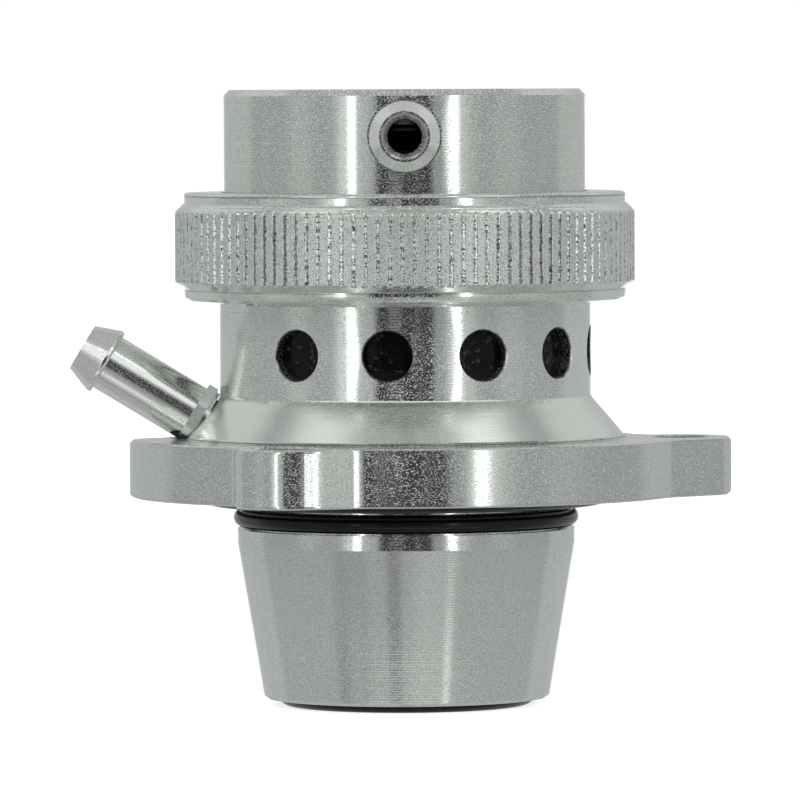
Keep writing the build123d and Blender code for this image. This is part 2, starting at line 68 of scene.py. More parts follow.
# %% Place the camera
CAMERA_DISTANCE = 0.832
CAMERA_HEIGHT = 0.0419
AIM_HEIGHT = 0.00984
AIM_SIDE = -0.00058
LENS_MM = 360.7
SENSOR_MM = 36
CLIP_NEAR, CLIP_FAR = 0.05, 50
ROLL = -0.27

camera_data = bpy.data.cameras.new("camera")
camera_data.lens = LENS_MM
camera_data.sensor_width = SENSOR_MM
camera_data.clip_start = CLIP_NEAR
camera_data.clip_end = CLIP_FAR
camera = bpy.data.objects.new("camera", camera_data)
bpy.context.scene.collection.objects.link(camera)
camera.location = (AIM_SIDE, -CAMERA_DISTANCE, CAMERA_HEIGHT)
look = Vector((AIM_SIDE, 0, AIM_HEIGHT)) - camera.location
roll = Matrix.Rotation(radians(ROLL), 3, "Z")
camera.rotation_euler = (look.to_track_quat("-Z", "Y").to_matrix() @ roll).to_euler()
bpy.context.scene.camera = camera
print("camera looks down by", round(degrees(asin(-look.z / look.length)), 2), "degrees")

# %% [markdown]
# ## Helpers for node trees
# Materials, the sky and Geometry Nodes are all node trees. The first helper adds a node with its settings
# and links or sets its inputs in one call. With them a tree reads from top to bottom, as a recipe does.
# The Standard view transform shows every colour about as it is written.

# %% Add nodes, materials and groups
def add_node(tree, kind, inputs=None, **settings):
    """Adds a node with its settings. Each input is a number, a colour or the output socket that feeds it."""
    node = tree.nodes.new(kind)
    for name, value in settings.items():
        setattr(node, name, value)
    for name, value in (inputs or {}).items():
        socket = node.inputs[name]
        if isinstance(value, bpy.types.NodeSocket):
            tree.links.new(value, socket)
        else:
            socket.default_value = value
    return node


def new_material(name):
    """An empty material with its node tree."""
    material = bpy.data.materials.new(name)
    material.use_nodes = True
    material.node_tree.nodes.clear()
    return material, material.node_tree


def new_group(name, kind, inputs, outputs):
    """Makes a node group with named sockets. Returns it with the sockets that it gets and those it fills."""
    group = bpy.data.node_groups.new(name, kind)
    for socket_name, socket_type, default in inputs:
        socket = group.interface.new_socket(socket_name, in_out="INPUT", socket_type=socket_type)
        if default is not None:
            socket.default_value = default
    for socket_name, socket_type in outputs:
        group.interface.new_socket(socket_name, in_out="OUTPUT", socket_type=socket_type)
    given = group.nodes.new("NodeGroupInput").outputs
    result = group.nodes.new("NodeGroupOutput").inputs
    return group, given, result


def grouped(tree, group, **inputs):
    """Adds a copy of a node group. Each input is a value or the output socket that feeds it."""
    named = {name.replace("_", " ").title(): value for name, value in inputs.items()}
    return add_node(tree, "ShaderNodeGroup", named, node_tree=group)


bpy.context.scene.view_settings.view_transform = "Standard"
print("view transform:", bpy.context.scene.view_settings.view_transform)

# %% [markdown]
# Most nodes of a tree are plain arithmetic on masks, heights and tones. These short helpers name the steps
# that come back again and again, and each returns the socket with its result.

# %% Arithmetic on sockets
def math_node(tree, operation, *values):
    """A Math node."""
    return add_node(tree, "ShaderNodeMath", dict(enumerate(values)), operation=operation).outputs[0]


def product(tree, first, *factors):
    """Several values multiplied."""
    for factor in factors:
        first = math_node(tree, "MULTIPLY", first, factor)
    return first


def added(tree, value, amount, share):
    """A value plus a share of an amount."""
    return math_node(tree, "ADD", value, product(tree, amount, share))


def toward(tree, value, target, share):
    """A value moved towards a target by a share."""
    return added(tree, value, math_node(tree, "SUBTRACT", target, value), share)


def ramp(tree, value, low, high, start=0.0, end=1.0, **settings):
    """A value mapped from the range between low and high to the one between start and end, and held there."""
    ranges = {"Value": value, "From Min": low, "From Max": high, "To Min": start, "To Max": end}
    return add_node(tree, "ShaderNodeMapRange", ranges, **settings).outputs["Result"]


def between(tree, mask, start, end):
    """Start where a mask is 0 and end where it is 1."""
    return ramp(tree, mask, 0.0, 1.0, start, end)


SOFT_EDGE = 0.03 * MM


def window(tree, value, low, high, edge=SOFT_EDGE):
    """1 between two values and 0 outside, with soft ends inside the window."""
    return product(tree, ramp(tree, value, low, low + edge), ramp(tree, value, high, high - edge))


print("soft ends of a window:", round(SOFT_EDGE / MM, 2), "mm")

# %% [markdown]
# Places, directions and colours are vectors, and they get the same kind of helpers.

# %% Arithmetic on vectors
def vector_node(tree, operation, *values, output=0):
    """A Vector Math node."""
    node = add_node(tree, "ShaderNodeVectorMath", dict(enumerate(values)), operation=operation)
    return node.outputs[output]


def axes_of(tree, vector):
    """The sockets X, Y and Z of a vector."""
    return add_node(tree, "ShaderNodeSeparateXYZ", {"Vector": vector}).outputs


def joined(tree, x, y, z=0.0):
    """A vector from its three parts."""
    return add_node(tree, "ShaderNodeCombineXYZ", {"X": x, "Y": y, "Z": z}).outputs[0]


def scaled(tree, vector, factor):
    """A vector or colour times a number."""
    return add_node(tree, "ShaderNodeVectorMath", {0: vector, "Scale": factor}, operation="SCALE").outputs[0]


def on_piece(tree):
    """The place and the normal of a point along its piece's own axes."""
    return add_node(tree, "ShaderNodeTexCoord").outputs


print("helpers for vectors:", vector_node.__name__, axes_of.__name__, joined.__name__, scaled.__name__)

# %% [markdown]
# ## The studio that the metal mirrors
# Bare metal shows almost nothing but its surroundings, so its light is a matter of what stands round it:
# two tall lamps in front, a dark gap between them where the camera stands, grey walls and a white backdrop.
# Cards and lamps as objects could do it, but each would light the rubber too, and a picture of a room can't
# be moved lamp by lamp. So the sky of the scene holds all of it as soft-edged panels on a sphere. Each
# panel is one copy of the group below: it is 1 inside its own range of direction and fades to 0 outside it.

# %% A soft-edged panel of the studio
def make_panel_group():
    """A mask over directions: azimuth is 0 towards the camera and positive to its right, in degrees."""
    inputs = [
        ("Azimuth", "NodeSocketFloat", 0.0),
        ("Elevation", "NodeSocketFloat", 0.0),
        ("Centre", "NodeSocketFloat", 0.0),
        ("Half Width", "NodeSocketFloat", 5.0),
        ("Edge", "NodeSocketFloat", 2.0),
        ("Low", "NodeSocketFloat", -10.0),
        ("High", "NodeSocketFloat", 60.0),
        ("End", "NodeSocketFloat", 4.0),
    ]
    group, given, result = new_group("studio panel", "ShaderNodeTree", inputs, [("Mask", "NodeSocketFloat")])
    away = math_node(group, "ABSOLUTE", math_node(group, "SUBTRACT", given["Azimuth"], given["Centre"]))
    inner = math_node(group, "SUBTRACT", given["Half Width"], given["Edge"])
    outer = math_node(group, "ADD", given["Half Width"], given["Edge"])
    low_end = math_node(group, "SUBTRACT", given["Low"], given["End"])
    high_end = math_node(group, "ADD", given["High"], given["End"])
    soft = {"interpolation_type": "SMOOTHSTEP"}
    across = ramp(group, away, inner, outer, 1.0, 0.0, **soft)
    over_low = ramp(group, given["Elevation"], low_end, given["Low"], **soft)
    under_high = ramp(group, given["Elevation"], given["High"], high_end, 1.0, 0.0, **soft)
    group.links.new(product(group, across, over_low, under_high), result["Mask"])
    return group


panel_group = make_panel_group()
print("group made:", panel_group.name)

# %% [markdown]
# The list below is the whole studio, and each panel covers what stands before it in the list. A surface
# that faces the camera mirrors the camera's own place, and one turned by an angle mirrors what stands at
# twice that angle. So a stripe that shows 16 degrees round the cap is a lamp at 32 degrees.

# %% The panels of the studio
WALL_LEVEL = 0.385
PANELS = [
    # name, centre, half width, edge, low, high, end, level
    ("side wall left", -148, 33, 5, -90, 90, 5, 0.5),
    ("side wall right", 148, 33, 5, -90, 90, 5, 0.5),
    ("high wall left", -138, 18, 6, 22, 46, 8, 0.6),
    ("high wall right", 138, 18, 6, 22, 46, 8, 0.6),
    ("backdrop left", -180, 13, 5, -90, 0, 2, 1.1),
    ("backdrop right", 180, 13, 5, -90, 0, 2, 1.1),
    ("scrim left", -33, 11, 7, -12, 70, 8, 0.5),
    ("scrim right", 34, 11, 7, -12, 70, 8, 0.5),
    ("far screen left", -70, 8, 5, -14, 40, 8, 0.47),
    ("far screen right", 69, 9, 5, -14, 40, 8, 0.44),
    ("ceiling", 0, 200, 1, 55, 95, 10, 0.42),
    ("top light left", -84, 18, 10, 56, 70, 6, 0.85),
    ("top light right", 79, 16, 9, 56, 70, 6, 1.05),
    ("top gap left", -114, 4, 3, 38, 56, 5, 0.3),
    ("top gap right", 114, 4, 3, 38, 56, 5, 0.3),
    ("floor", 0, 200, 1, -95, -15, 4, 0.4),
    ("floor left", -42, 12, 5, -95, -15, 4, 0.34),
    ("floor behind left", -141, 24, 4, -95, -15, 4, 0.5),
    ("floor behind right", 141, 24, 4, -95, -15, 4, 0.5),
    ("floor right", 22, 16, 6, -95, -15, 4, 0.48),
    ("floor foot", -9, 5, 3, -95, -15, 4, 0.26),
    ("camera gap", 0, 18.2, 2.2, -10, 13, 5, 0.04),
    ("camera left", -6, 4, 2, -2.2, 12, 0.6, 0.2),
    ("camera right", 8, 1.5, 1.5, -14, 12, 4, 0.1),
    ("camera edge", 22, 3, 3, -14, 16, 4, 0.32),
    ("lamp glow left", -39, 3, 4, -10, 50, 4, 0.8),
    ("lamp glow right", 34, 6, 5, -10, 50, 4, 0.62),
    ("lamp left", -33.5, 2.0, 1.7, -9, 50, 4, 2.8),
    ("lamp right", 31.5, 2.3, 2.0, -9, 50, 4, 2.8),
    ("front strip", 0, 64, 8, 24, 40, 4, 0.95),
    ("floor strip", 0, 62, 8, -46, -34, 4, 0.8),
    ("flare right", 33, 2.5, 2.5, -60, -25, 1.5, 0.9),
    ("flare left", -40, 4, 4, -60, -26, 1.5, 0.42),
    ("shade left", -54, 4, 3, -60, -26, 1.5, 0.26),
]
print("studio panels:", len(PANELS))

# %% [markdown]
# The sky shows three faces. The camera sees plain white behind the valve, dull surfaces get an even grey
# light from all sides, and mirroring ones get the panels. One sky for all three would either grey the
# background or flood the rubber with the lamps. The grey of the panels is a touch green and its darkest
# parts are a touch violet, which gives the metal the faint tint that it has in the photograph.

# %% Hang the panels in the sky
GREEN_TINT = (0.975, 1.0, 0.98, 1)
VIOLET_TINT = (1.03, 1.0, 1.02, 1)
TINT_FROM, TINT_TO = 0.34, 0.12
WHITE = (1, 1, 1, 1)
EVEN_LEVEL = 0.62


def panel_level(tree, direction):
    """The brightness of the studio in a direction."""
    axes = axes_of(tree, direction)
    forward = math_node(tree, "MULTIPLY", axes["Y"], -1.0)
    azimuth = math_node(tree, "DEGREES", math_node(tree, "ARCTAN2", axes["X"], forward))
    elevation = math_node(tree, "DEGREES", math_node(tree, "ARCSINE", axes["Z"]))
    level = WALL_LEVEL
    for name, centre, half_width, edge, low, high, end, brightness in PANELS:
        panel = grouped(
            tree, panel_group, azimuth=azimuth, elevation=elevation,
            centre=centre, half_width=half_width, edge=edge, low=low, high=high, end=end,
        )
        panel.label = name
        level = between(tree, panel.outputs["Mask"], level, brightness)
    return level


def build_sky():
    """The sky: white to the camera, an even grey to dull surfaces, and the panels to mirroring ones."""
    world = bpy.data.worlds.new("studio")
    bpy.context.scene.world = world
    world.use_nodes = True
    tree = world.node_tree
    tree.nodes.clear()
    level = panel_level(tree, add_node(tree, "ShaderNodeTexCoord").outputs["Generated"])
    shade = ramp(tree, level, TINT_FROM, TINT_TO)
    tint = add_node(tree, "ShaderNodeMix", {0: shade, 6: GREEN_TINT, 7: VIOLET_TINT}, data_type="RGBA")
    panels = add_node(tree, "ShaderNodeBackground", {"Color": tint.outputs[2], "Strength": level})
    even = add_node(tree, "ShaderNodeBackground", {"Color": WHITE, "Strength": EVEN_LEVEL})
    white = add_node(tree, "ShaderNodeBackground", {"Color": WHITE, "Strength": 1.0})
    rays = add_node(tree, "ShaderNodeLightPath").outputs
    gloss_in = {0: rays["Is Glossy Ray"], 1: even.outputs[0], 2: panels.outputs[0]}
    for_gloss = add_node(tree, "ShaderNodeMixShader", gloss_in)
    camera_in = {0: rays["Is Camera Ray"], 1: for_gloss.outputs[0], 2: white.outputs[0]}
    for_camera = add_node(tree, "ShaderNodeMixShader", camera_in)
    add_node(tree, "ShaderNodeOutputWorld", {"Surface": for_camera.outputs[0]})
    return tree


sky_tree = build_sky()
print("nodes in the sky:", len(sky_tree.nodes))

# %% [markdown]
# ## Floor and soft lamps
# The valve stands on a plain pale floor. A little glow for the camera alone brings its light grey up to
# white while the contact shadow stays. Metal doesn't mirror the floor, because its studio has one already.

# %% Lay the floor
FLOOR_GREY = (0.5, 0.5, 0.5, 1)
FLOOR_GLOW = 0.8
FLOOR_REACH = 40.0
floor_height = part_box("seat_seal")[0].z


def floor_paint():
    """A dull light grey that glows a little for the camera alone."""
    material, tree = new_material("pale floor")
    paint = add_node(tree, "ShaderNodeBsdfDiffuse", {"Color": FLOOR_GREY})
    seen = add_node(tree, "ShaderNodeLightPath").outputs["Is Camera Ray"]
    strength = math_node(tree, "MULTIPLY", seen, FLOOR_GLOW)
    glow = add_node(tree, "ShaderNodeEmission", {"Color": WHITE, "Strength": strength})
    both = add_node(tree, "ShaderNodeAddShader", {0: paint.outputs[0], 1: glow.outputs[0]})
    add_node(tree, "ShaderNodeOutputMaterial", {"Surface": both.outputs[0]})
    return material


floor_mesh = bpy.data.meshes.new("floor")
corners = [(-1, -1), (1, -1), (1, 1), (-1, 1)]
floor_points = [(x * FLOOR_REACH, y * FLOOR_REACH, floor_height) for x, y in corners]
floor_mesh.from_pydata(floor_points, [], [(0, 1, 2, 3)])
floor_mesh.materials.append(floor_paint())
floor = bpy.data.objects.new("floor", floor_mesh)
bpy.context.scene.collection.objects.link(floor)
floor.visible_glossy = False
print("floor at", round(floor_height / MM, 2), "mm")

# %% [markdown]
# Two large lamps give rubber and plastic their soft light. Metal doesn't mirror them either.

# %% Hang two soft lamps
def soft_lamp(name, place, size, watts):
    """A large square lamp that points at the valve and that metal doesn't mirror."""
    data = bpy.data.lights.new(name, "AREA")
    data.shape = "SQUARE"
    data.size = size
    data.energy = watts
    lamp = bpy.data.objects.new(name, data)
    bpy.context.scene.collection.objects.link(lamp)
    lamp.location = place
    lamp.rotation_euler = (-Vector(place)).to_track_quat("-Z", "Y").to_euler()
    lamp.visible_glossy = False
    return lamp


lamps = [
    soft_lamp("key lamp", (-0.7, -0.9, 1.1), 0.8, 14),
    soft_lamp("fill lamp", (0.9, -0.7, 0.9), 0.9, 9),
]
print("lamps:", [lamp.name for lamp in lamps])

# %% [markdown]
# ## Surface effects that several metals share
# Turned and anodised aluminium has fine structures of its own. The anodising leaves a grain of about a
# tenth of a millimetre that breaks up reflections. A picture of grain would show its seams, while noise
# over the piece's own coordinates has none and moves with the piece. It is a group, so that each material
# can place it with its own size and strength.

# %% Group: anodised grain
def make_grain_group():
    """Height and tone of a fine even grain. Size is the grain's width in metres."""
    inputs = [("Size", "NodeSocketFloat", 0.12 * MM), ("Contrast", "NodeSocketFloat", 0.5)]
    outputs = [("Height", "NodeSocketFloat"), ("Tone", "NodeSocketFloat")]
    group, given, result = new_group("anodised grain", "ShaderNodeTree", inputs, outputs)
    per_metre = math_node(group, "DIVIDE", 1.0, given["Size"])
    noise_in = {"Vector": on_piece(group)["Object"], "Scale": per_metre, "Detail": 2.0, "Roughness": 0.6}
    height = add_node(group, "ShaderNodeTexNoise", noise_in).outputs["Fac"]
    centred = math_node(group, "SUBTRACT", height, 0.5)
    group.links.new(height, result["Height"])
    group.links.new(product(group, centred, given["Contrast"]), result["Tone"])
    return group


grain_group = make_grain_group()
print("group made:", grain_group.name)

# %% [markdown]
# The lathe leaves faint rings, which follow the axis that a piece was turned about. The nipples have axes
# of their own, so this group measures any point against any axis: how far along it the point lies, and how
# far away from it.

# %% Group: place about an axis
def make_axis_group():
    """How far a point lies along an axis and how far away from it, in metres."""
    inputs = [
        ("Point", "NodeSocketVector", (0.0, 0.0, 0.0)),
        ("Direction", "NodeSocketVector", (0.0, 0.0, 1.0)),
    ]
    outputs = [("Along", "NodeSocketFloat"), ("Radius", "NodeSocketFloat")]
    group, given, result = new_group("place about an axis", "ShaderNodeTree", inputs, outputs)
    arm = vector_node(group, "SUBTRACT", on_piece(group)["Object"], given["Point"])
    along = vector_node(group, "DOT_PRODUCT", arm, given["Direction"], output="Value")
    across = vector_node(group, "CROSS_PRODUCT", arm, given["Direction"])
    radius = vector_node(group, "LENGTH", across, output="Value")
    group.links.new(along, result["Along"])
    group.links.new(radius, result["Radius"])
    return group


axis_group = make_axis_group()
print("group made:", axis_group.name)

# %% [markdown]
# A ring is a line of constant height on a cylinder and of constant radius on a flat face. The sum of both
# works on either and on a cone, so one wave over that sum draws the rings, and noise over the sum and the
# difference makes no two of them alike.

# %% Group: rings left by the lathe
def make_rings_group():
    """Height and tone of the rings that a lathe tool leaves at every turn. Pitch is its feed in metres."""
    inputs = [
        ("Along", "NodeSocketFloat", 0.0),
        ("Radius", "NodeSocketFloat", 0.0),
        ("Pitch", "NodeSocketFloat", 0.3 * MM),
        ("Contrast", "NodeSocketFloat", 0.5),
    ]
    outputs = [("Height", "NodeSocketFloat"), ("Tone", "NodeSocketFloat")]
    group, given, result = new_group("turning rings", "ShaderNodeTree", inputs, outputs)
    travel = math_node(group, "ADD", given["Along"], given["Radius"])
    other = math_node(group, "SUBTRACT", given["Along"], given["Radius"])
    per_metre = math_node(group, "DIVIDE", 1.0, given["Pitch"])
    noise_in = {"Vector": joined(group, travel, other), "Scale": per_metre, "Detail": 3.0, "Roughness": 0.7}
    noise = add_node(group, "ShaderNodeTexNoise", noise_in, noise_dimensions="2D").outputs["Fac"]
    turns = added(group, product(group, travel, per_metre), noise, 0.5)
    wave = math_node(group, "SINE", product(group, turns, 2 * pi))
    height = added(group, noise, wave, 0.5)
    centred = math_node(group, "SUBTRACT", height, 0.5)
    group.links.new(height, result["Height"])
    group.links.new(product(group, centred, given["Contrast"]), result["Tone"])
    return group


rings_group = make_rings_group()
print("group made:", rings_group.name)

# %% [markdown]
# Seen close, a dark reflection in this metal is full of bright specks. They are spots of the surface that
# are rougher than the rest and a little longer round the axis than high, which is how the tool smears them.

# %% Group: sparkling spots
SPOT_EDGE = 0.04


def make_sparkle_group():
    """A mask of scattered spots that run round the Z axis. Stretch is their length over their height."""
    inputs = [
        ("Size", "NodeSocketFloat", 0.1 * MM),
        ("Stretch", "NodeSocketFloat", 2.2),
        ("Threshold", "NodeSocketFloat", 0.56),
    ]
    group, given, result = new_group("sparkle", "ShaderNodeTree", inputs, [("Mask", "NodeSocketFloat")])
    axes = axes_of(group, on_piece(group)["Object"])
    stretched = joined(group, axes["X"], axes["Y"], product(group, axes["Z"], given["Stretch"]))
    length = product(group, given["Size"], given["Stretch"])
    noise_in = {"Vector": stretched, "Scale": math_node(group, "DIVIDE", 1.0, length), "Detail": 1.0}
    noise = add_node(group, "ShaderNodeTexNoise", noise_in).outputs["Fac"]
    full = math_node(group, "ADD", given["Threshold"], SPOT_EDGE)
    group.links.new(ramp(group, noise, given["Threshold"], full), result["Mask"])
    return group


sparkle_group = make_sparkle_group()
print("group made:", sparkle_group.name)

# %% [markdown]
# ## The metals
# One recipe makes every metal of the valve: a base tone, grain and rings as small changes of tone and as
# bump, and a roughness. A bump's distance is in metres and tiny, because it only tilts the surface by a
# degree or two. The sparkle changes the roughness instead. A rough spot mirrors a wide part of the studio,
# so in a dark reflection it shines out, while in an even grey one it can't be seen.

# %% A recipe for the surface of a turned metal
def sparkling(tree, size, threshold, gloss, spot_gloss, spot_metallic, spot_tone):
    """Roughness, metallic share and tone of a surface whose scattered spots are rougher and partly dull."""
    mask = grouped(tree, sparkle_group, size=size, threshold=threshold).outputs["Mask"]
    spots = ((gloss, spot_gloss), (1.0, spot_metallic), (1.0, spot_tone))
    return [between(tree, mask, calm, spot) for calm, spot in spots]


def turned_surface(tree, finish, along, radius, normal=None):
    """Roughness, metallic share, tone and bumped normal of a finish, which is grain, sparkle and rings."""
    grain, sparkle, rings = finish
    gloss, metallic, tone = sparkling(tree, *sparkle)
    grain_node = grouped(tree, grain_group, size=grain[0], contrast=grain[1])
    rings_node = grouped(tree, rings_group, pitch=rings[0], contrast=rings[1], along=along, radius=radius)
    for node, depth in ((grain_node, grain[2]), (rings_node, rings[2])):
        tone = math_node(tree, "ADD", tone, node.outputs["Tone"])
        bump_in = {"Distance": depth, "Height": node.outputs["Height"]}
        if normal:
            bump_in["Normal"] = normal
        normal = add_node(tree, "ShaderNodeBump", bump_in).outputs["Normal"]
    return gloss, metallic, tone, normal


def wire_metal(tree, base, gloss, metallic, tone, normal):
    """Ends a metal's tree with its shader and output."""
    shader_in = {"Base Color": scaled(tree, base, tone), "Metallic": metallic, "Roughness": gloss}
    shader_in["Normal"] = normal
    shader = add_node(tree, "ShaderNodeBsdfPrincipled", shader_in)
    add_node(tree, "ShaderNodeOutputMaterial", {"Surface": shader.outputs[0]})


# a grain, or rings: size, contrast of the tone, depth of the bump
FINE_GRAIN = (0.09 * MM, 1.5, 0.001 * MM)
SATIN_RINGS = (0.3 * MM, 0.05, 0.0025 * MM)
STEEL_GRAIN = (0.12 * MM, 0.5, 0.0015 * MM)
STEEL_RINGS = (0.15 * MM, 0.1, 0.0008 * MM)
OILED_GRAIN = (0.2 * MM, 0.3, 0.001 * MM)
OILED_RINGS = (0.3 * MM, 0.03, 0.0)
# a sparkle: size, threshold, roughness between the spots, then roughness, metallic share and tone in them
SATIN_SPARKLE = (0.08 * MM, 0.575, 0.08, 0.25, 0.1, 0.67)
STEEL_SPARKLE = (0.08 * MM, 0.6, 0.13, 0.3, 0.6, 0.8)
OILED_SPARKLE = (0.3 * MM, 0.6, 0.28, 0.4, 1.0, 1.0)

SATIN = (FINE_GRAIN, SATIN_SPARKLE, SATIN_RINGS)
TURNED_STEEL = (STEEL_GRAIN, STEEL_SPARKLE, STEEL_RINGS)
OILED_STEEL = (OILED_GRAIN, OILED_SPARKLE, OILED_RINGS)
print("grain of the satin finish:", round(FINE_GRAIN[0] / MM, 2), "mm")

# %% [markdown]
# The plain turned metals follow directly. A hose nipple's rings follow its own axis, its bore is painted dark
# as shade, and its collar is duller than the shank and painted paler to stand in for the light on its facets.
# Separate materials for bore and collar would need the mesh cut up, while the distance to the axis tells them
# apart as it is.

# %% The turned metals
ALUMINIUM = (0.80, 0.83, 0.80)
CAP_ALUMINIUM = (0.75, 0.78, 0.75)
STEEL = (0.88, 0.89, 0.87)
SPRING_STEEL = (0.42, 0.42, 0.43)
# painted shade: the tone that darkens a nipple's bore, standing in for the shade inside it
BORE_SHADE_TONE = 0.05
BORE_SHADE_EDGE = 0.05 * MM
COLLAR_GLOSS = 0.4
# painted light that lifts the collar's tone, standing in for the light on its facets
COLLAR_PAINTED_LIGHT = 0.12


def turned_metal(name, base, finish, point=(0, 0, 0), direction=(0, 0, 1), bore_radius=0.0, collar_end=0.0):
    """A metal turned about an axis, with painted shade in its bore and a duller collar painted paler, if it
    has them.
    """
    material, tree = new_material(name)
    place = grouped(tree, axis_group, point=point, direction=direction).outputs
    along, radius = place["Along"], place["Radius"]
    gloss, metallic, tone, normal = turned_surface(tree, finish, along, radius)
    # painted shade: inside the bore the tone is darkened
    if bore_radius:
        outside_bore_shade = ramp(tree, radius, bore_radius, bore_radius + BORE_SHADE_EDGE, BORE_SHADE_TONE)
        tone = product(tree, tone, outside_bore_shade)
    # the collar is duller, and painted light lifts its tone to stand in for the light on its facets
    if collar_end:
        on_collar = math_node(tree, "LESS_THAN", along, collar_end)
        gloss = between(tree, on_collar, gloss, COLLAR_GLOSS)
        tone = added(tree, tone, on_collar, COLLAR_PAINTED_LIGHT)
    wire_metal(tree, base, gloss, metallic, tone, normal)
    return material


NIPPLE_BORE = 1.72 * MM
COLLAR_END = 1.52 * MM
CAP_NIPPLE_POINT = (0, 0, 37.37 * MM)
CAP_NIPPLE_DIRECTION = (0, -1, 0)
SIDE_NIPPLE_POINT = (-20.887 * MM, 0, 7.8 * MM)
SIDE_NIPPLE_DIRECTION = (-0.8544588, 0, 0.5195191)

satin_aluminium = turned_metal("satin aluminium", CAP_ALUMINIUM, SATIN)
bright_steel = turned_metal("bright turned steel", STEEL, TURNED_STEEL)
dark_steel = turned_metal("oiled spring steel", SPRING_STEEL, OILED_STEEL)
cap_nipple_steel = turned_metal(
    "cap nipple steel", STEEL, TURNED_STEEL, CAP_NIPPLE_POINT, CAP_NIPPLE_DIRECTION, NIPPLE_BORE
)
side_nipple_steel = turned_metal(
    "side nipple steel", STEEL, TURNED_STEEL, SIDE_NIPPLE_POINT, SIDE_NIPPLE_DIRECTION,
    bore_radius=NIPPLE_BORE, collar_end=COLLAR_END,
)
print("metals:", satin_aluminium.name, bright_steel.name, dark_steel.name)

# %% [markdown]
# The body's metal knows the body's shape. Its real edges are crisper than the CAD's edge breaks, so the
# flange's sides keep their level normal up to a hair from both faces. The blend between cone and tube is
# split into one normal for the tube and one for the cone, with a thin glint on the crease between them.
# The spigot bellies a little towards its foot, and the front ear is turned a little to the left. All of
# this is one group that puts out a normal. It is made along the piece's own axes and turned as the piece
# is turned, so it stays right in every pose.

# %% Group: crisp edges of the body
FLANGE_TOP = 6.0 * MM
FLANGE_EDGE = 0.14 * MM
CREASE_HEIGHT = 10.4 * MM
# parts of the blend as heights over the crease
TUBE_SIDE = (0.04 * MM, 0.5 * MM)
CREASE_LINE = (-0.08 * MM, 0.06 * MM)
CONE_SIDE = (-0.9 * MM, -0.05 * MM)
# the crease ends at the side nipple's boss, on the left
CREASE_REACH = (-14.2 * MM, 30 * MM)
CREASE_FADE = 0.3 * MM
SPIGOT_BELLY = (-8 * MM, -16.5 * MM)
FRONT_EAR = (-15.8 * MM, -8.2 * MM)
FRONT_EAR_FADE = 1.2 * MM
FRONT_EAR_BACK = -14 * MM
GLINT_SLOPE = 0.287


def bent_normal(tree, x, y, z):
    """A normal given along the piece's own axes, made one long and turned as the piece is turned."""
    turned = add_node(
        tree, "ShaderNodeVectorTransform", {0: joined(tree, x, y, z)},
        vector_type="NORMAL", convert_from="OBJECT", convert_to="WORLD",
    )
    return vector_node(tree, "NORMALIZE", turned.outputs[0])


def make_crisp_group():
    """The body's normal, level on the flange's edge breaks and sharply bent at the foot of the tube."""
    inputs = [
        ("Crease", "NodeSocketFloat", CREASE_HEIGHT),
        ("Cone Slope", "NodeSocketFloat", 0.857),
        ("Glint Slope", "NodeSocketFloat", GLINT_SLOPE),
        ("Belly", "NodeSocketFloat", 0.05),
        ("Ear Turn", "NodeSocketFloat", 0.106),
    ]
    outputs = [("Normal", "NodeSocketVector")]
    group, given, result = new_group("crisp edges", "ShaderNodeTree", inputs, outputs)
    place = on_piece(group)
    at, normal = axes_of(group, place["Object"]), axes_of(group, place["Normal"])
    creased = window(group, at["X"], *CREASE_REACH, CREASE_FADE)
    over_crease = math_node(group, "SUBTRACT", at["Z"], given["Crease"])
    in_flange = window(group, at["Z"], FLANGE_EDGE, FLANGE_TOP - FLANGE_EDGE)
    on_tube, on_crease, on_cone = (
        product(group, window(group, over_crease, *part), creased)
        for part in (TUBE_SIDE, CREASE_LINE, CONE_SIDE)
    )
    rise = toward(group, normal["Z"], 0.0, math_node(group, "MAXIMUM", in_flange, on_tube))
    level = vector_node(group, "LENGTH", joined(group, normal["X"], normal["Y"]), output="Value")
    rise = toward(group, rise, product(group, level, given["Cone Slope"]), on_cone)
    rise = toward(group, rise, given["Glint Slope"], on_crease)
    belly = product(group, ramp(group, at["Z"], *SPIGOT_BELLY), given["Belly"])
    rise = math_node(group, "SUBTRACT", rise, belly)
    on_ear = product(group, window(group, at["X"], *FRONT_EAR, FRONT_EAR_FADE), in_flange)
    in_front = math_node(group, "LESS_THAN", at["Y"], FRONT_EAR_BACK)
    turn = product(group, on_ear, in_front, given["Ear Turn"])
    bent = bent_normal(group, math_node(group, "SUBTRACT", normal["X"], turn), normal["Y"], rise)
    group.links.new(bent, result["Normal"])
    return group


crisp_group = make_crisp_group()
print("group made:", crisp_group.name)

# %% [markdown]
# The rest of the body's looks go by height and radius too. The flange is milled, so it has no rings and is
# a little duller. The cone is rubbed softer than the tube, a line of painted shade lies in the corner under
# it, and the hollow beside the nipple's boss is duller. Everything under the tube's skin gets painted shade,
# which is what makes the vent holes dark.

# %% The body's metal
MILLED = (-0.3 * MM, 6.2 * MM)
MILLED_GLOSS, MILLED_TONE = 0.05, -0.12
CONE = (6.1 * MM, 10.34 * MM)
CONE_SHARE, CONE_GLOSS, CONE_TONE = 0.72, 0.22, 1.07
BOSS_SIDE = (-14.6 * MM, -15.6 * MM)
BOSS_HEIGHTS = (10.4 * MM, 19 * MM)
BOSS_GLOSS = 0.19
# painted shade: a dark line in the corner between the flange's top and the cone
CORNER_SHADE_LINE = (6.03 * MM, 6.17 * MM)
CORNER_SHADE_TONE = 0.3
VENTS = (12.1 * MM, 17.9 * MM)
TUBE_SKIN = (19.262 * MM, 19.23 * MM)
# painted shade that darkens everything under the tube's skin by the vent holes
VENT_SHADE_TONE = 0.25


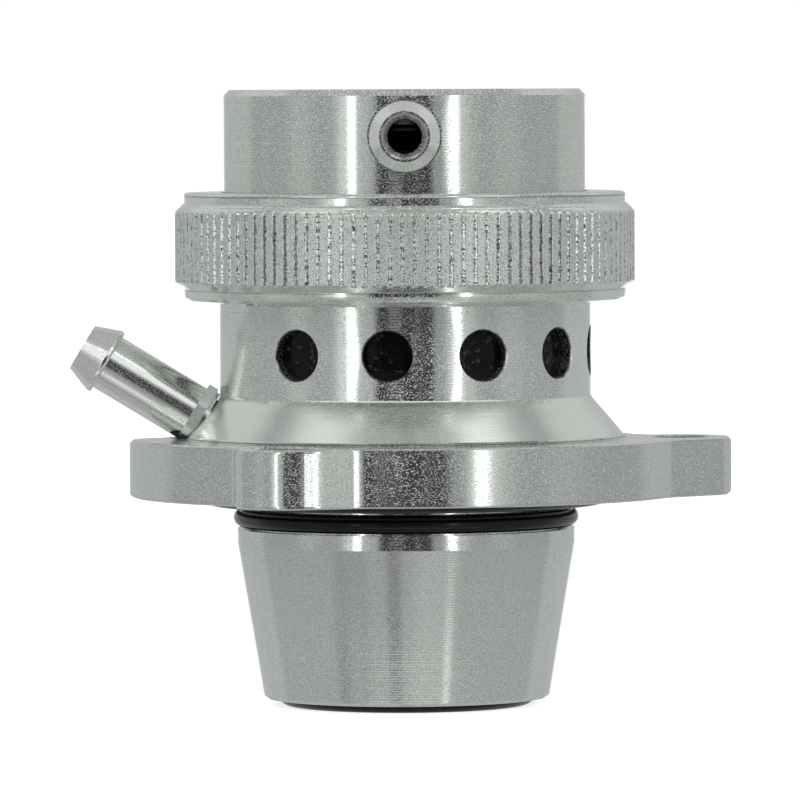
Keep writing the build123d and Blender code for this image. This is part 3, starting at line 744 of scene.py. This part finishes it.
def body_metal(name, base):
    """Satin aluminium with crisp edges, a milled flange, a duller cone, and painted shade in its corner and
    in the vent holes.
    """
    material, tree = new_material(name)
    place = grouped(tree, axis_group).outputs
    height = place["Along"]
    turned = math_node(tree, "SUBTRACT", 1.0, window(tree, height, *MILLED))
    milled = math_node(tree, "SUBTRACT", 1.0, turned)
    along, radius = product(tree, height, turned), product(tree, place["Radius"], turned)
    crisp = grouped(tree, crisp_group).outputs["Normal"]
    gloss, metallic, tone, normal = turned_surface(tree, SATIN, along, radius, crisp)
    gloss = added(tree, gloss, milled, MILLED_GLOSS)
    tone = added(tree, tone, milled, MILLED_TONE)
    on_cone = product(tree, window(tree, height, *CONE), CONE_SHARE)
    gloss = toward(tree, gloss, CONE_GLOSS, on_cone)
    metallic = toward(tree, metallic, 1.0, on_cone)
    tone = toward(tree, tone, CONE_TONE, on_cone)
    beside_boss = ramp(tree, axes_of(tree, on_piece(tree)["Object"])["X"], *BOSS_SIDE)
    gloss = toward(tree, gloss, BOSS_GLOSS, product(tree, beside_boss, window(tree, height, *BOSS_HEIGHTS)))
    # painted shade in the corner under the cone
    tone = toward(tree, tone, CORNER_SHADE_TONE, window(tree, height, *CORNER_SHADE_LINE))
    # painted shade: under the tube's skin, by the vents, the tone is darkened
    under_skin = ramp(tree, place["Radius"], *TUBE_SKIN)
    tone = toward(tree, tone, VENT_SHADE_TONE, product(tree, window(tree, height, *VENTS), under_skin))
    wire_metal(tree, base, gloss, metallic, tone, normal)
    return material


body_aluminium = body_metal("body aluminium", ALUMINIUM)
print("metal:", body_aluminium.name)

# %% [markdown]
# ## The knurled locking ring
# The ring's looks and its shape share a few sizes. They come from the CAD ring's box and from its section:
# a collar above and below, and a raised band with the knurl between them. Taking them from the box keeps
# the dressed ring in place if the CAD ring ever moves.

# %% Sizes of the ring
RING_RADIUS = 23.85 * MM
COLLAR_RADIUS = 22.95 * MM
UPPER_COLLAR = 2.15 * MM
BAND_HEIGHT = 7.05 * MM
ring_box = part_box("locking_ring")
ring_bottom, ring_top = ring_box[0].z, ring_box[1].z
knurl_top = ring_top - UPPER_COLLAR
knurl_bottom = knurl_top - BAND_HEIGHT
print("ring from", round(ring_bottom / MM, 2), "to", round(ring_top / MM, 2), "mm")
print("knurl from", round(knurl_bottom / MM, 2), "to", round(knurl_top / MM, 2), "mm")

# %% [markdown]
# The knurled band is a different surface. Its lands are still rough from the tool, so they mirror nothing
# sharp and stay a light grey with a fine grain, and the grooves are torn metal that glitters. Two materials
# would part at a face's border, so one does both: a mask finds the points that lie deeper than the lands,
# from their distance to the axis, and there bump and tone are far stronger. The grooves' strong speckled tone
# is partly torn metal and partly painted glints and painted shade, and painted light lifts it. A thin dark
# line of painted shade lies in two corners of the ring's section, and the cove over the knurl has a glint.

# %% The knurled ring's metal
GROOVE_DEPTHS = (-0.01 * MM, -0.05 * MM)
BAND_RADII = (0.2 * MM, 0.35 * MM)
BAND_MARGIN = 0.05 * MM
COVE_GLINT = (0.60 * MM, 0.74 * MM)
# painted shade: thin dark bands under the top round and at the foot of the slope
TOP_SHADE_LINE = (-0.47 * MM, -0.30 * MM)
FOOT_SHADE_LINE = (-0.94 * MM, -0.84 * MM)
OUTER_SKIN = (22.3 * MM, 22.5 * MM)
SHADE_LINE_TONE, SHADE_LINE_SHARE = 0.35, 0.8
# the grooves' speckled tone: partly torn metal, partly painted glints and painted shade, lifted by painted
# light
TORN_GRAIN, TORN_AND_GLINT_CONTRAST, TORN_BUMP = 0.2 * MM, 8.0, 0.04 * MM
TORN_PAINTED_LIGHT, LAND_TORN, LAND_LIGHT = 0.1, 0.2, 0.1
LAND_GLOSS, GROOVE_GLOSS = 0.5, 0.2


def measured_from(origin, part):
    """Both ends of a part that is given as distances from an origin."""
    return [origin + end for end in part]


def knurled_metal(name, base):
    """Satin metal with a rough band over the knurl's heights, torn where it is deeper than the lands, with
    painted glints and shade in its speckle and painted shade in two corners.
    """
    material, tree = new_material(name)
    place = grouped(tree, axis_group).outputs
    along, radius = place["Along"], place["Radius"]
    heights = window(tree, along, knurl_bottom - BAND_MARGIN, knurl_top + BAND_MARGIN)
    band = product(tree, heights, ramp(tree, radius, *measured_from(COLLAR_RADIUS, BAND_RADII)))
    groove = product(tree, ramp(tree, radius, *measured_from(RING_RADIUS, GROOVE_DEPTHS)), band)
    facing = axes_of(tree, on_piece(tree)["Normal"])
    on_glint = window(tree, along, *measured_from(knurl_top, COVE_GLINT))
    bent = bent_normal(tree, facing["X"], facing["Y"], toward(tree, facing["Z"], GLINT_SLOPE, on_glint))
    gloss, metallic, tone, normal = turned_surface(tree, SATIN, along, radius, bent)
    # painted shade in two corners of the ring's section
    top_shade_line = window(tree, along, *measured_from(ring_top, TOP_SHADE_LINE))
    foot_shade_line = window(tree, along, *measured_from(knurl_bottom, FOOT_SHADE_LINE))
    lines = math_node(tree, "MAXIMUM", top_shade_line, foot_shade_line)
    tone = toward(tree, tone, SHADE_LINE_TONE, product(tree, lines, ramp(tree, radius, *OUTER_SKIN), SHADE_LINE_SHARE))
    # painted glints and shade in the grooves' speckle, and painted light that lifts it
    torn = grouped(tree, grain_group, size=TORN_GRAIN, contrast=TORN_AND_GLINT_CONTRAST).outputs
    torn_and_glint_tone = math_node(tree, "ADD", torn["Tone"], TORN_PAINTED_LIGHT)
    torn_share = math_node(tree, "MAXIMUM", groove, product(tree, band, LAND_TORN))
    tone = added(tree, tone, torn_and_glint_tone, torn_share)
    tone = added(tree, tone, band, LAND_LIGHT)
    torn_height = product(tree, torn["Height"], groove)
    bump_in = {"Distance": TORN_BUMP, "Height": torn_height, "Normal": normal}
    normal = add_node(tree, "ShaderNodeBump", bump_in).outputs["Normal"]
    gloss = between(tree, groove, between(tree, band, gloss, LAND_GLOSS), GROOVE_GLOSS)
    wire_metal(tree, base, gloss, between(tree, band, metallic, 1.0), tone, normal)
    return material


knurled_aluminium = knurled_metal("knurled aluminium", ALUMINIUM)
print("metal:", knurled_aluminium.name)

# %% [markdown]
# ### The shape of the ring
# Geometry Nodes suit anything that repeats. The helper below puts a tree on an object as a modifier, sets
# its inputs by their identifiers, bakes the result to a plain mesh and removes the modifier again, so that
# what is left is an ordinary piece.

# %% A helper for Geometry Nodes
def bake_piece(name, source_mesh, group, values):
    """Runs a Geometry Nodes tree on a mesh with the given inputs and returns the baked piece."""
    seed_object = bpy.data.objects.new(name + " source", source_mesh)
    bpy.context.scene.collection.objects.link(seed_object)
    modifier = seed_object.modifiers.new("nodes", "NODES")
    modifier.node_group = group
    for item in group.interface.items_tree:
        if item.in_out == "INPUT" and item.name in values:
            modifier[item.identifier] = values[item.name]
    bpy.context.view_layer.update()
    evaluated = seed_object.evaluated_get(bpy.context.evaluated_depsgraph_get())
    mesh = bpy.data.meshes.new_from_object(evaluated)
    mesh.name = name
    seed_object.modifiers.remove(modifier)
    bpy.data.objects.remove(seed_object)
    piece = bpy.data.objects.new(name, mesh)
    bpy.context.scene.collection.objects.link(piece)
    mesh.calc_loop_triangles()
    print(name, "has", len(mesh.loop_triangles), "triangles")
    return piece


print("Geometry Nodes pieces are baked by", bake_piece.__name__)

# %% [markdown]
# On the real ring each groove was cut by the same tool. Cutting them out with booleans would be slow and
# leave slivers, so the ring is one pitch of knurl, repeated round the axis. The pitch is a closed strip
# of the ring's section. The section starts inside at the thread's foot and runs up the outside: bottom
# bevel, lower collar, slope, knurled band, cove and top round.

# %% The section of the ring
LIP_RADIUS = 19.1 * MM
THREAD_RADIUS = 21.36 * MM
LIP_THICKNESS = 1.6 * MM
BOTTOM_BEVEL = 0.6 * MM
TOP_ROUND = 0.45 * MM
FOOT_SLOPE = 0.8 * MM
COVE_HEIGHT = 1.0 * MM
COVE_POWER = 0.75
BEVEL_STEPS, ROUND_STEPS = 3, 4
FOOT_SHARES = (0.0, 0.03, 0.35, 0.64, 0.68, 0.97, 1.0)
COVE_SHARES = (1.0, 0.97, 0.86, 0.7, 0.5, 0.3, 0.14, 0.05, 0.0)
BAND_ROWS = 46


def ring_section():
    """The ring's closed section as (radius, height) points, counted upwards along its outside first."""
    bevel_start = COLLAR_RADIUS - BOTTOM_BEVEL
    points = [(THREAD_RADIUS, ring_bottom), (bevel_start, ring_bottom)]
    for step in range(BEVEL_STEPS + 1):
        turn = radians(90 * step / BEVEL_STEPS)
        rise = ring_bottom + BOTTOM_BEVEL * (1 - cos(turn))
        points.append((COLLAR_RADIUS - BOTTOM_BEVEL * (1 - sin(turn)), rise))
    raise_height = RING_RADIUS - COLLAR_RADIUS
    foot = knurl_bottom - FOOT_SLOPE
    for share in FOOT_SHARES:
        points.append((COLLAR_RADIUS + raise_height * share, foot + FOOT_SLOPE * share))
    for row in range(1, BAND_ROWS):
        points.append((RING_RADIUS, knurl_bottom + (knurl_top - knurl_bottom) * row / BAND_ROWS))
    for share in COVE_SHARES:
        rise = (1 - share) ** COVE_POWER
        points.append((COLLAR_RADIUS + raise_height * share, knurl_top + COVE_HEIGHT * rise))
    for step in range(ROUND_STEPS + 1):
        turn = radians(90 * step / ROUND_STEPS)
        points.append((COLLAR_RADIUS - TOP_ROUND * (1 - cos(turn)), ring_top - TOP_ROUND * (1 - sin(turn))))
    lip_height = ring_top - LIP_THICKNESS
    inside = [(LIP_RADIUS, ring_top), (LIP_RADIUS, lip_height), (THREAD_RADIUS, lip_height)]
    return points + inside


section = ring_section()
print("points in the section:", len(section))

# %% [markdown]
# The strip is seven columns wide. A column's radius is the smaller of the section's radius and the
# groove's, which is also how the cutter runs out on the slopes. An attribute says where the groove's walls
# will be torn.

# %% One pitch of the ring
KNURL_COUNT = 120
KNURL_DEPTH = 0.2 * MM
# place as a share of the pitch, depth as a share of the groove's, roughness as a share of the noise
COLUMNS = [
    (0.0, 0, 0.1), (0.19, 0, 0), (0.38, 0, 0), (0.57, 0, 0.1),
    (0.677, 0.62, 0.4), (0.785, 1, 1), (0.893, 0.62, 0.4), (1.0, 0, 0.1),
]
ON_BAND = 0.01 * MM


def pitch_mesh():
    """One pitch of the ring as a strip of quads, with the share of roughness kept on its points."""
    pitch = 2 * pi / KNURL_COUNT
    points, shares, faces = [], [], []
    for place, depth, share in COLUMNS:
        angle = pitch * place
        groove_radius = RING_RADIUS - KNURL_DEPTH * depth
        for radius, height in section:
            own_radius = min(radius, groove_radius)
            points.append((own_radius * cos(angle), own_radius * sin(angle), height))
            in_band = radius > groove_radius - ON_BAND and knurl_bottom <= height <= knurl_top
            shares.append(share if in_band else 0.0)
    rows = len(section)
    for column in range(len(COLUMNS) - 1):
        here, right = column * rows, (column + 1) * rows
        for row in range(rows):
            after = (row + 1) % rows
            faces.append((here + row, right + row, right + after, here + after))
    mesh = bpy.data.meshes.new("ring pitch")
    mesh.from_pydata(points, [], faces)
    attribute = mesh.attributes.new("torn share", "FLOAT", "POINT")
    attribute.data.foreach_set("value", shares)
    return mesh


ring_pitch = pitch_mesh()
print("one pitch:", len(ring_pitch.vertices), "points")

# %% [markdown]
# The tree copies the pitch round the axis, merges the copies' shared borders, and tears the groove walls
# with noise. Edges that bend by more than 25 degrees stay sharp, and everything else is shaded smooth.

# %% Repeat the pitch round the axis
MERGE_DISTANCE = 0.002 * MM
SHARP_ANGLE = radians(25)


def knurl_tree():
    """Geometry Nodes: copies of the pitch round Z, joined, torn by noise and shaded smooth between edges."""
    inputs = [
        ("Geometry", "NodeSocketGeometry", None),
        ("Count", "NodeSocketInt", KNURL_COUNT),
        ("Torn Depth", "NodeSocketFloat", 0.03 * MM),
        ("Torn Size", "NodeSocketFloat", 0.3 * MM),
        ("Seed", "NodeSocketFloat", 3.0),
        ("Material", "NodeSocketMaterial", None),
    ]
    outputs = [("Geometry", "NodeSocketGeometry")]
    group, given, result = new_group("knurl round a ring", "GeometryNodeTree", inputs, outputs)
    places = add_node(group, "GeometryNodePoints", {"Count": given["Count"]})
    index = add_node(group, "GeometryNodeInputIndex")
    turn = math_node(group, "DIVIDE", product(group, index.outputs[0], 2 * pi), given["Count"])
    copies_in = {"Points": places.outputs[0], "Instance": given["Geometry"]}
    copies_in["Rotation"] = joined(group, 0.0, 0.0, turn)
    copies = add_node(group, "GeometryNodeInstanceOnPoints", copies_in)
    real = add_node(group, "GeometryNodeRealizeInstances", {"Geometry": copies.outputs[0]})
    merged_in = {"Geometry": real.outputs[0], "Distance": MERGE_DISTANCE}
    merged = add_node(group, "GeometryNodeMergeByDistance", merged_in)
    share = add_node(group, "GeometryNodeInputNamedAttribute", {"Name": "torn share"})
    per_metre = math_node(group, "DIVIDE", 1.0, given["Torn Size"])
    noise_in = {"Scale": per_metre, "W": given["Seed"], "Detail": 2.0}
    noise = add_node(group, "ShaderNodeTexNoise", noise_in, noise_dimensions="4D")
    centred = vector_node(group, "SUBTRACT", noise.outputs["Color"], (0.5, 0.5, 0.5))
    depth = product(group, given["Torn Depth"], share.outputs["Attribute"], 2.0)
    torn_in = {"Geometry": merged.outputs[0], "Offset": scaled(group, centred, depth)}
    torn = add_node(group, "GeometryNodeSetPosition", torn_in)
    smooth = add_node(group, "GeometryNodeSetShadeSmooth", {0: torn.outputs[0]})
    bend = add_node(group, "GeometryNodeInputMeshEdgeAngle").outputs["Unsigned Angle"]
    sharp = add_node(group, "FunctionNodeCompare", {"A": bend, "B": SHARP_ANGLE}, operation="GREATER_THAN")
    edged_in = {0: smooth.outputs[0], "Selection": sharp.outputs["Result"], "Shade Smooth": False}
    edged = add_node(group, "GeometryNodeSetShadeSmooth", edged_in, domain="EDGE")
    whole = add_node(group, "GeometryNodeRealizeInstances", {"Geometry": edged.outputs[0]})
    painted_in = {"Geometry": whole.outputs[0], "Material": given["Material"]}
    painted = add_node(group, "GeometryNodeSetMaterial", painted_in)
    group.links.new(painted.outputs[0], result["Geometry"])
    return group


ring_values = {"Count": KNURL_COUNT, "Material": knurled_aluminium}
knurled_ring = bake_piece("knurled_ring", ring_pitch, knurl_tree(), ring_values)
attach(knurled_ring, "ring")
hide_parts("locking_ring")

# %% [markdown]
# ## The return spring
# The CAD spring has an eight-sided wire, which keeps its triangles few. Here it gets a round one. A spring
# with closed ends is a helix whose pitch is one wire in its first and last turn and larger between, so its
# height is a sum of three clamped ramps over the turns. Grinding the ends flat is a clamp on the height.

# %% Wind the spring
SPRING_TURNS = 7
POINTS_PER_TURN = 56
WIRE_SIDES = 16
WIRE = 1.9 * MM
# pitch of the closed turns as a share of the wire
CLOSED_PITCH = 1.02
spring_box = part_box("return_spring")
spring_bottom, spring_top = spring_box[0].z, spring_box[1].z
closed_rise = WIRE * CLOSED_PITCH
spring_mean_radius = spring_box[1].x - WIRE / 2


def helix_place(group, given, turns):
    """The place of a point of the spring's wire, from the number of turns below it."""
    last_turn = math_node(group, "SUBTRACT", given["Turns"], 1.0)
    whole_rise = math_node(group, "SUBTRACT", given["Top"], given["Bottom"])
    open_rise = math_node(group, "SUBTRACT", whole_rise, product(group, given["Closed Rise"], 2.0))
    first = between(group, turns, 0.0, given["Closed Rise"])
    middle = ramp(group, turns, 1.0, last_turn, 0.0, open_rise)
    last = ramp(group, turns, last_turn, given["Turns"], 0.0, given["Closed Rise"])
    rise = math_node(group, "ADD", math_node(group, "ADD", first, middle), last)
    height = math_node(group, "ADD", rise, given["Bottom"])
    angle = product(group, turns, 2 * pi)
    across = product(group, math_node(group, "COSINE", angle), given["Radius"])
    deep = product(group, math_node(group, "SINE", angle), given["Radius"])
    return joined(group, across, deep, height)


def ground_place(group, given):
    """The place of a point, no lower than the spring's bottom and no higher than its top."""
    axes = axes_of(group, add_node(group, "GeometryNodeInputPosition").outputs[0])
    raised = math_node(group, "MAXIMUM", axes["Z"], given["Bottom"])
    return joined(group, axes["X"], axes["Y"], math_node(group, "MINIMUM", raised, given["Top"]))


print("spring:", SPRING_TURNS, "turns of", round(WIRE / MM, 2), "mm wire")

# %% [markdown]
# The tree winds a straight line into the helix, sweeps a circle along it and grinds both ends. The spring
# stands on the lifting piston and ends at the cap, which stays. So it rides on the body.

# %% Sweep the wire and seat the spring
def spring_tree():
    """Geometry Nodes: a helix of varying pitch, swept by a round wire and ground flat at both ends."""
    inputs = [
        ("Geometry", "NodeSocketGeometry", None),
        ("Radius", "NodeSocketFloat", 12 * MM),
        ("Wire", "NodeSocketFloat", WIRE),
        ("Bottom", "NodeSocketFloat", 0.0),
        ("Top", "NodeSocketFloat", 20 * MM),
        ("Closed Rise", "NodeSocketFloat", WIRE),
        ("Turns", "NodeSocketFloat", 7.0),
        ("Points", "NodeSocketInt", 300),
        ("Material", "NodeSocketMaterial", None),
    ]
    outputs = [("Geometry", "NodeSocketGeometry")]
    group, given, result = new_group("wound spring", "GeometryNodeTree", inputs, outputs)
    line = add_node(group, "GeometryNodeCurvePrimitiveLine")
    points_in = {"Curve": line.outputs[0], "Count": given["Points"]}
    points = add_node(group, "GeometryNodeResampleCurve", points_in)
    factor = add_node(group, "GeometryNodeSplineParameter").outputs["Factor"]
    helix_in = {"Geometry": points.outputs[0]}
    helix_in["Position"] = helix_place(group, given, product(group, factor, given["Turns"]))
    helix = add_node(group, "GeometryNodeSetPosition", helix_in)
    circle_in = {"Resolution": WIRE_SIDES, "Radius": product(group, given["Wire"], 0.5)}
    circle = add_node(group, "GeometryNodeCurvePrimitiveCircle", circle_in)
    swept_in = {"Curve": helix.outputs[0], "Profile Curve": circle.outputs[0], "Fill Caps": True}
    swept = add_node(group, "GeometryNodeCurveToMesh", swept_in)
    ground_in = {"Geometry": swept.outputs[0], "Position": ground_place(group, given)}
    ground = add_node(group, "GeometryNodeSetPosition", ground_in)
    smooth = add_node(group, "GeometryNodeSetShadeSmooth", {0: ground.outputs[0]})
    whole = add_node(group, "GeometryNodeRealizeInstances", {"Geometry": smooth.outputs[0]})
    painted_in = {"Geometry": whole.outputs[0], "Material": given["Material"]}
    painted = add_node(group, "GeometryNodeSetMaterial", painted_in)
    group.links.new(painted.outputs[0], result["Geometry"])
    return group


spring_values = {
    "Radius": spring_mean_radius,
    "Wire": WIRE,
    "Bottom": spring_bottom,
    "Top": spring_top,
    "Closed Rise": closed_rise,
    "Turns": float(SPRING_TURNS),
    "Points": SPRING_TURNS * POINTS_PER_TURN,
    "Material": dark_steel,
}
round_spring = bake_piece("round_spring", bpy.data.meshes.new("empty"), spring_tree(), spring_values)
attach(round_spring, "body")
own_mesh(round_spring)
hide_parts("return_spring")

# %% [markdown]
# ## Rubber and plastic
# The seals are glossy black rubber and the piston is polished black with flecks of painted highlight on it,
# seen through the vent holes. Two slip washers are plastic. All of them are a base colour, a roughness, a
# fine grain and a reflection. At the usual strength of a reflection, black parts in a bright studio look
# grey, so theirs is weaker.

# %% A recipe for rubber and plastic
# size and threshold of the flecks of painted highlight on the piston
FLECK_SIZE, FLECK_THRESHOLD = 0.6 * MM, 0.63


def moulded(name, base, roughness, grain, specular=0.5, fleck_highlight=0.0):
    """A moulded material. Grain gives a size, a contrast and a depth. Painted highlight lies in flecks of
    lighter tone.
    """
    material, tree = new_material(name)
    grain_node = grouped(tree, grain_group, size=grain[0], contrast=grain[1])
    tone = math_node(tree, "ADD", 1.0, grain_node.outputs["Tone"])
    # painted highlight: flecks of lighter tone stand in for glints on the glossy piston
    if fleck_highlight:
        flecks = grouped(tree, sparkle_group, size=FLECK_SIZE, threshold=FLECK_THRESHOLD, stretch=1.0)
        tone = added(tree, tone, flecks.outputs["Mask"], fleck_highlight)
    bump = add_node(tree, "ShaderNodeBump", {"Distance": grain[2], "Height": grain_node.outputs["Height"]})
    shader_in = {"Base Color": scaled(tree, base, tone), "Roughness": roughness}
    shader_in.update({"Normal": bump.outputs["Normal"], "Specular IOR Level": specular})
    shader = add_node(tree, "ShaderNodeBsdfPrincipled", shader_in)
    add_node(tree, "ShaderNodeOutputMaterial", {"Surface": shader.outputs[0]})
    return material


RUBBER_BLACK = (0.004, 0.004, 0.004)
PISTON_BLACK = (0.003, 0.003, 0.004)
IVORY = (0.72, 0.70, 0.64)
CARBON_BLACK = (0.006, 0.006, 0.006)

black_rubber = moulded("black rubber", RUBBER_BLACK, 0.11, (0.3 * MM, 0.5, 0.001 * MM), specular=0.3)
black_piston = moulded(
    "polished black piston", PISTON_BLACK, 0.12, (0.8 * MM, 1.0, 0.06 * MM), specular=0.18, fleck_highlight=9.0
)
ivory_plastic = moulded("ivory slip plastic", IVORY, 0.45, (0.3 * MM, 0.1, 0.001 * MM))
carbon_plastic = moulded(
    "carbon-filled slip plastic", CARBON_BLACK, 0.3, (0.3 * MM, 0.4, 0.001 * MM), specular=0.15
)
print("moulded materials:", black_rubber.name, black_piston.name, ivory_plastic.name, carbon_plastic.name)

# %% [markdown]
# ## Finish every CAD piece
# The CAD pieces already have their true shape, so each only takes its material. The two that were replaced
# take theirs as well.

# %% Give each CAD piece its finish
finishes = {
    "valve_body": body_aluminium,
    "top_cap": satin_aluminium,
    "locking_ring": knurled_aluminium,
    "cap_nipple": cap_nipple_steel,
    "side_nipple": side_nipple_steel,
    "cap_nipple_seal": satin_aluminium,
    "side_nipple_seal": satin_aluminium,
    "flange_seal": black_rubber,
    "spigot_seal": black_rubber,
    "seat_seal": black_rubber,
    "cap_seal": black_rubber,
    "piston": black_piston,
    "piston_wear_ring": carbon_plastic,
    "piston_seal": black_rubber,
    "piston_face_seal": black_rubber,
    "seal_retainer": bright_steel,
    "retainer_screw": bright_steel,
    "return_spring": dark_steel,
    "spring_foot_washer": bright_steel,
    "spring_shim": bright_steel,
    "ring_slip_washer": ivory_plastic,
}
for node_name, finish in finishes.items():
    mesh = nodes[node_name].data
    mesh.materials.clear()
    mesh.materials.append(finish)
print("finished pieces:", len(finishes))
